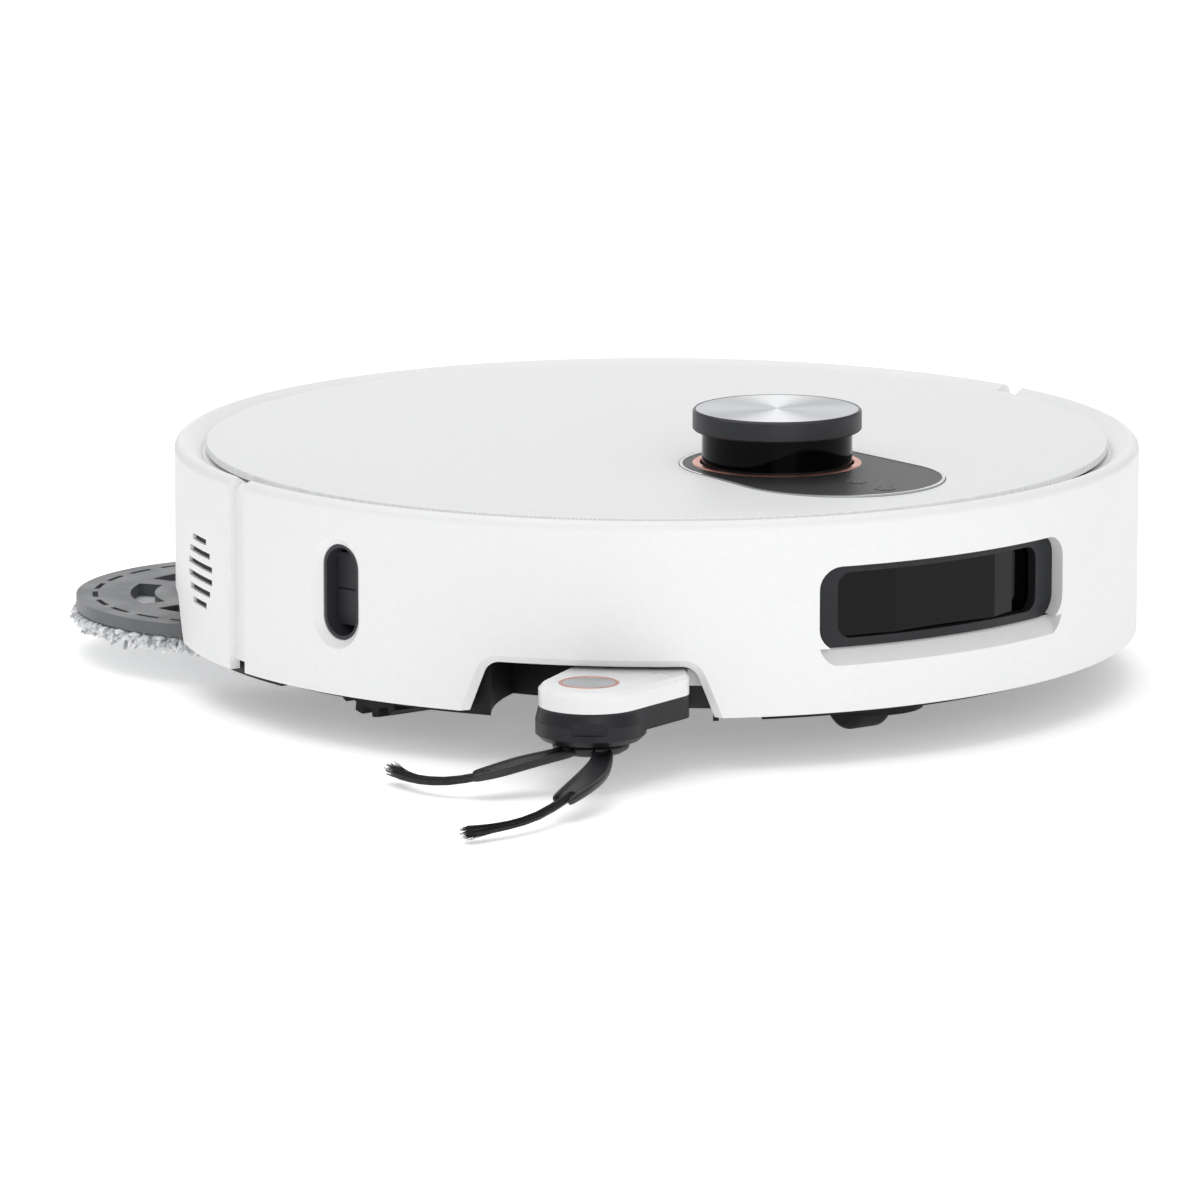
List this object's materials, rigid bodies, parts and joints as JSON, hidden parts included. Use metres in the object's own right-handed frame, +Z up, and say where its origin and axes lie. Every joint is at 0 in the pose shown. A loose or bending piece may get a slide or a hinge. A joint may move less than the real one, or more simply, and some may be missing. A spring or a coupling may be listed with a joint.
{
  "type": "robotic floor cleaner",
  "caption": "Round floor-cleaning robot with rising laser turret, swing-out side brush, lift-off cover, sprung bumper and spinning mop pads on a swing-out arm.",
  "frame": {"origin": "on the floor plane, under the axis of the round body", "axes": "+Z up, -Y the front with the sensing window, -X the robot's own right-hand side"},
  "size_m": [0.3851, 0.3712, 0.1072],
  "materials": {
    "white_shell": "fine satin moulded ABS",
    "white_cover": "fine linen-textured moulded ABS",
    "arm_white": "satin moulded ABS",
    "black_chassis": "moulded, fine spark texture",
    "dark_housing": "moulded",
    "panel_black": "fine dotted texture",
    "pale_trim": "polished edge",
    "copper_ring": "rose copper plating",
    "turret_glass": "polished infrared-pass window",
    "turret_grey": "satin metallic grey",
    "brushed_disc": "radially brushed",
    "black_parts": "moulded",
    "bezel_grey": "satin",
    "dark_cup": "satin dark moulding",
    "front_glass": "polished dark window",
    "brush_polymer": "flexible elastomer",
    "bristles": "nylon bristles",
    "mop_plate_grey": "satin moulded",
    "mop_fabric": "long-pile chenille",
    "tyre_rubber": "lugged rubber",
    "fin_rubber": "soft fins",
    "rim_grey": "moulded",
    "steel": "plated",
    "board_green": "solder mask",
    "clear_smoke": "smoked translucent",
    "filter_white": "pleated paper"
  },
  "bodies": {
    "base": {"rear_shell": "white_shell", "charging_contacts": "steel", "chassis": "black_chassis", "deck": "black_chassis", "control_panel": "panel_black", "panel_trim": "pale_trim", "turret_ring": "copper_ring", "sensor_bracket": "dark_housing", "camera_module": "black_parts", "line_lasers": "black_parts", "pivot_pins": "steel", "brush_bearings": "black_chassis", "brush_guard": "black_chassis", "battery": "dark_housing", "main_board": "board_green", "dust_bin": "clear_smoke", "bin_filter": "filter_white", "fan_housing": "dark_housing", "water_tank": "clear_smoke", "screws": "steel", "cliff_sensors": "front_glass"},
    "bumper": {"bumper": "white_shell", "window_bezel": "bezel_grey", "front_glass": "front_glass", "wall_sensor_cup": "dark_cup"},
    "cover": {"top_cover": "white_cover"},
    "home_button": {"home_button": "panel_black"},
    "power_button": {"power_button": "panel_black"},
    "turret": {"turret_tube": "turret_grey", "turret_window": "turret_glass", "turret_cap": "turret_grey", "turret_disc": "brushed_disc", "lidar_motor": "dark_housing"},
    "lidar": {"lidar_rotor": "black_parts"},
    "side_arm": {"arm_housing": "dark_housing", "arm_cover": "arm_white", "arm_badge_ring": "copper_ring", "arm_badge": "brushed_disc", "side_brush_motor": "dark_housing"},
    "side_brush": {"side_brush": "brush_polymer", "side_brush_bristles": "bristles"},
    "mop_swing": {"mop_arm": "dark_housing"},
    "mop_lift_right": {"mop_motor_right": "dark_housing"},
    "mop_right": {"mop_plate_right": "mop_plate_grey", "mop_pad_right": "mop_fabric"},
    "mop_lift_left": {"mop_motor_left": "dark_housing"},
    "mop_left": {"mop_plate_left": "mop_plate_grey", "mop_pad_left": "mop_fabric"},
    "suspension_right": {"wheel_gearbox_right": "dark_housing"},
    "wheel_right": {"tyre_right": "tyre_rubber", "wheel_rim_right": "rim_grey"},
    "suspension_left": {"wheel_gearbox_left": "dark_housing"},
    "wheel_left": {"tyre_left": "tyre_rubber", "wheel_rim_left": "rim_grey"},
    "caster_swivel": {"caster_fork": "black_chassis", "caster_axle": "steel"},
    "caster_roll": {"caster_wheel": "tyre_rubber"},
    "main_brush": {"main_brush_core": "brush_polymer", "main_brush_fins": "fin_rubber"},
    "fan": {"fan_impeller": "black_parts"}
  },
  "joints": [
    {"name": "bumper_press", "type": "slide", "parent": "base", "child": "bumper", "axis": [0, 1, 0], "range_m": [0, 0.0025], "stiffness_N_per_m": 500, "springref_m": -0.0025},
    {"name": "cover_lift", "type": "slide", "parent": "base", "child": "cover", "axis": [0, 0, 1], "range_m": [0, 0.06]},
    {"name": "home_button_press", "type": "slide", "parent": "base", "child": "home_button", "axis": [0, 0, 1], "range_m": [-0.0006, 0], "stiffness_N_per_m": 800, "springref_m": 0.0004},
    {"name": "power_button_press", "type": "slide", "parent": "base", "child": "power_button", "axis": [0, 0, 1], "range_m": [-0.0006, 0], "stiffness_N_per_m": 800, "springref_m": 0.0004},
    {"name": "turret_rise", "type": "slide", "parent": "base", "child": "turret", "axis": [0, 0, 1], "range_m": [-0.0115, 0]},
    {"name": "lidar_spin", "type": "hinge", "parent": "turret", "child": "lidar", "pos_m": [0, -0.074, 0.085], "axis": [0, 0, 1], "continuous": true},
    {"name": "side_arm_swing", "type": "hinge", "parent": "base", "child": "side_arm", "pos_m": [-0.067, -0.141, 0.03], "axis": [0, 0, 1], "range_deg": [-44, 0]},
    {"name": "side_brush_spin", "type": "hinge", "parent": "side_arm", "child": "side_brush", "pos_m": [-0.131, -0.146, 0.014], "axis": [0, 0, 1], "continuous": true},
    {"name": "mop_arm_swing", "type": "hinge", "parent": "base", "child": "mop_swing", "pos_m": [-0.1155, 0.0582, 0.032], "axis": [0, 0, 1], "range_deg": [-31.5, 0]},
    {"name": "mop_lift_right", "type": "slide", "parent": "mop_swing", "child": "mop_lift_right", "axis": [0, 0, 1], "range_m": [-0.0108, 0]},
    {"name": "mop_spin_right", "type": "hinge", "parent": "mop_lift_right", "child": "mop_right", "pos_m": [-0.099, 0.113, 0.02], "axis": [0, 0, 1], "continuous": true},
    {"name": "mop_lift_left", "type": "slide", "parent": "base", "child": "mop_lift_left", "axis": [0, 0, 1], "range_m": [-0.0108, 0]},
    {"name": "mop_spin_left", "type": "hinge", "parent": "mop_lift_left", "child": "mop_left", "pos_m": [0.0725, 0.096, 0.02], "axis": [0, 0, 1], "continuous": true},
    {"name": "suspension_right", "type": "hinge", "parent": "base", "child": "suspension_right", "pos_m": [-0.0975, 0.022, 0.038], "axis": [1, 0, 0], "range_deg": [0, 15], "stiffness_Nm_per_rad": 0.15, "springref_deg": 45.84},
    {"name": "wheel_right_roll", "type": "hinge", "parent": "suspension_right", "child": "wheel_right", "pos_m": [-0.118, -0.008, 0.035], "axis": [1, 0, 0], "continuous": true},
    {"name": "suspension_left", "type": "hinge", "parent": "base", "child": "suspension_left", "pos_m": [0.0975, 0.022, 0.038], "axis": [1, 0, 0], "range_deg": [0, 15], "stiffness_Nm_per_rad": 0.15, "springref_deg": 45.84},
    {"name": "wheel_left_roll", "type": "hinge", "parent": "suspension_left", "child": "wheel_left", "pos_m": [0.118, -0.008, 0.035], "axis": [1, 0, 0], "continuous": true},
    {"name": "caster_swivel", "type": "hinge", "parent": "base", "child": "caster_swivel", "pos_m": [0, -0.128, 0.03], "axis": [0, 0, 1], "continuous": true},
    {"name": "caster_roll", "type": "hinge", "parent": "caster_swivel", "child": "caster_roll", "pos_m": [0, -0.123, 0.0125], "axis": [1, 0, 0], "continuous": true},
    {"name": "main_brush_roll", "type": "hinge", "parent": "base", "child": "main_brush", "pos_m": [0, -0.0525, 0.019], "axis": [1, 0, 0], "continuous": true},
    {"name": "fan_spin", "type": "hinge", "parent": "base", "child": "fan", "pos_m": [0.062, 0.064, 0.055], "axis": [0, 0, 1], "continuous": true}
  ],
  "couplings": [
    {"joint": "mop_lift_left", "follows": "mop_lift_right", "ratio": 1}
  ]
}
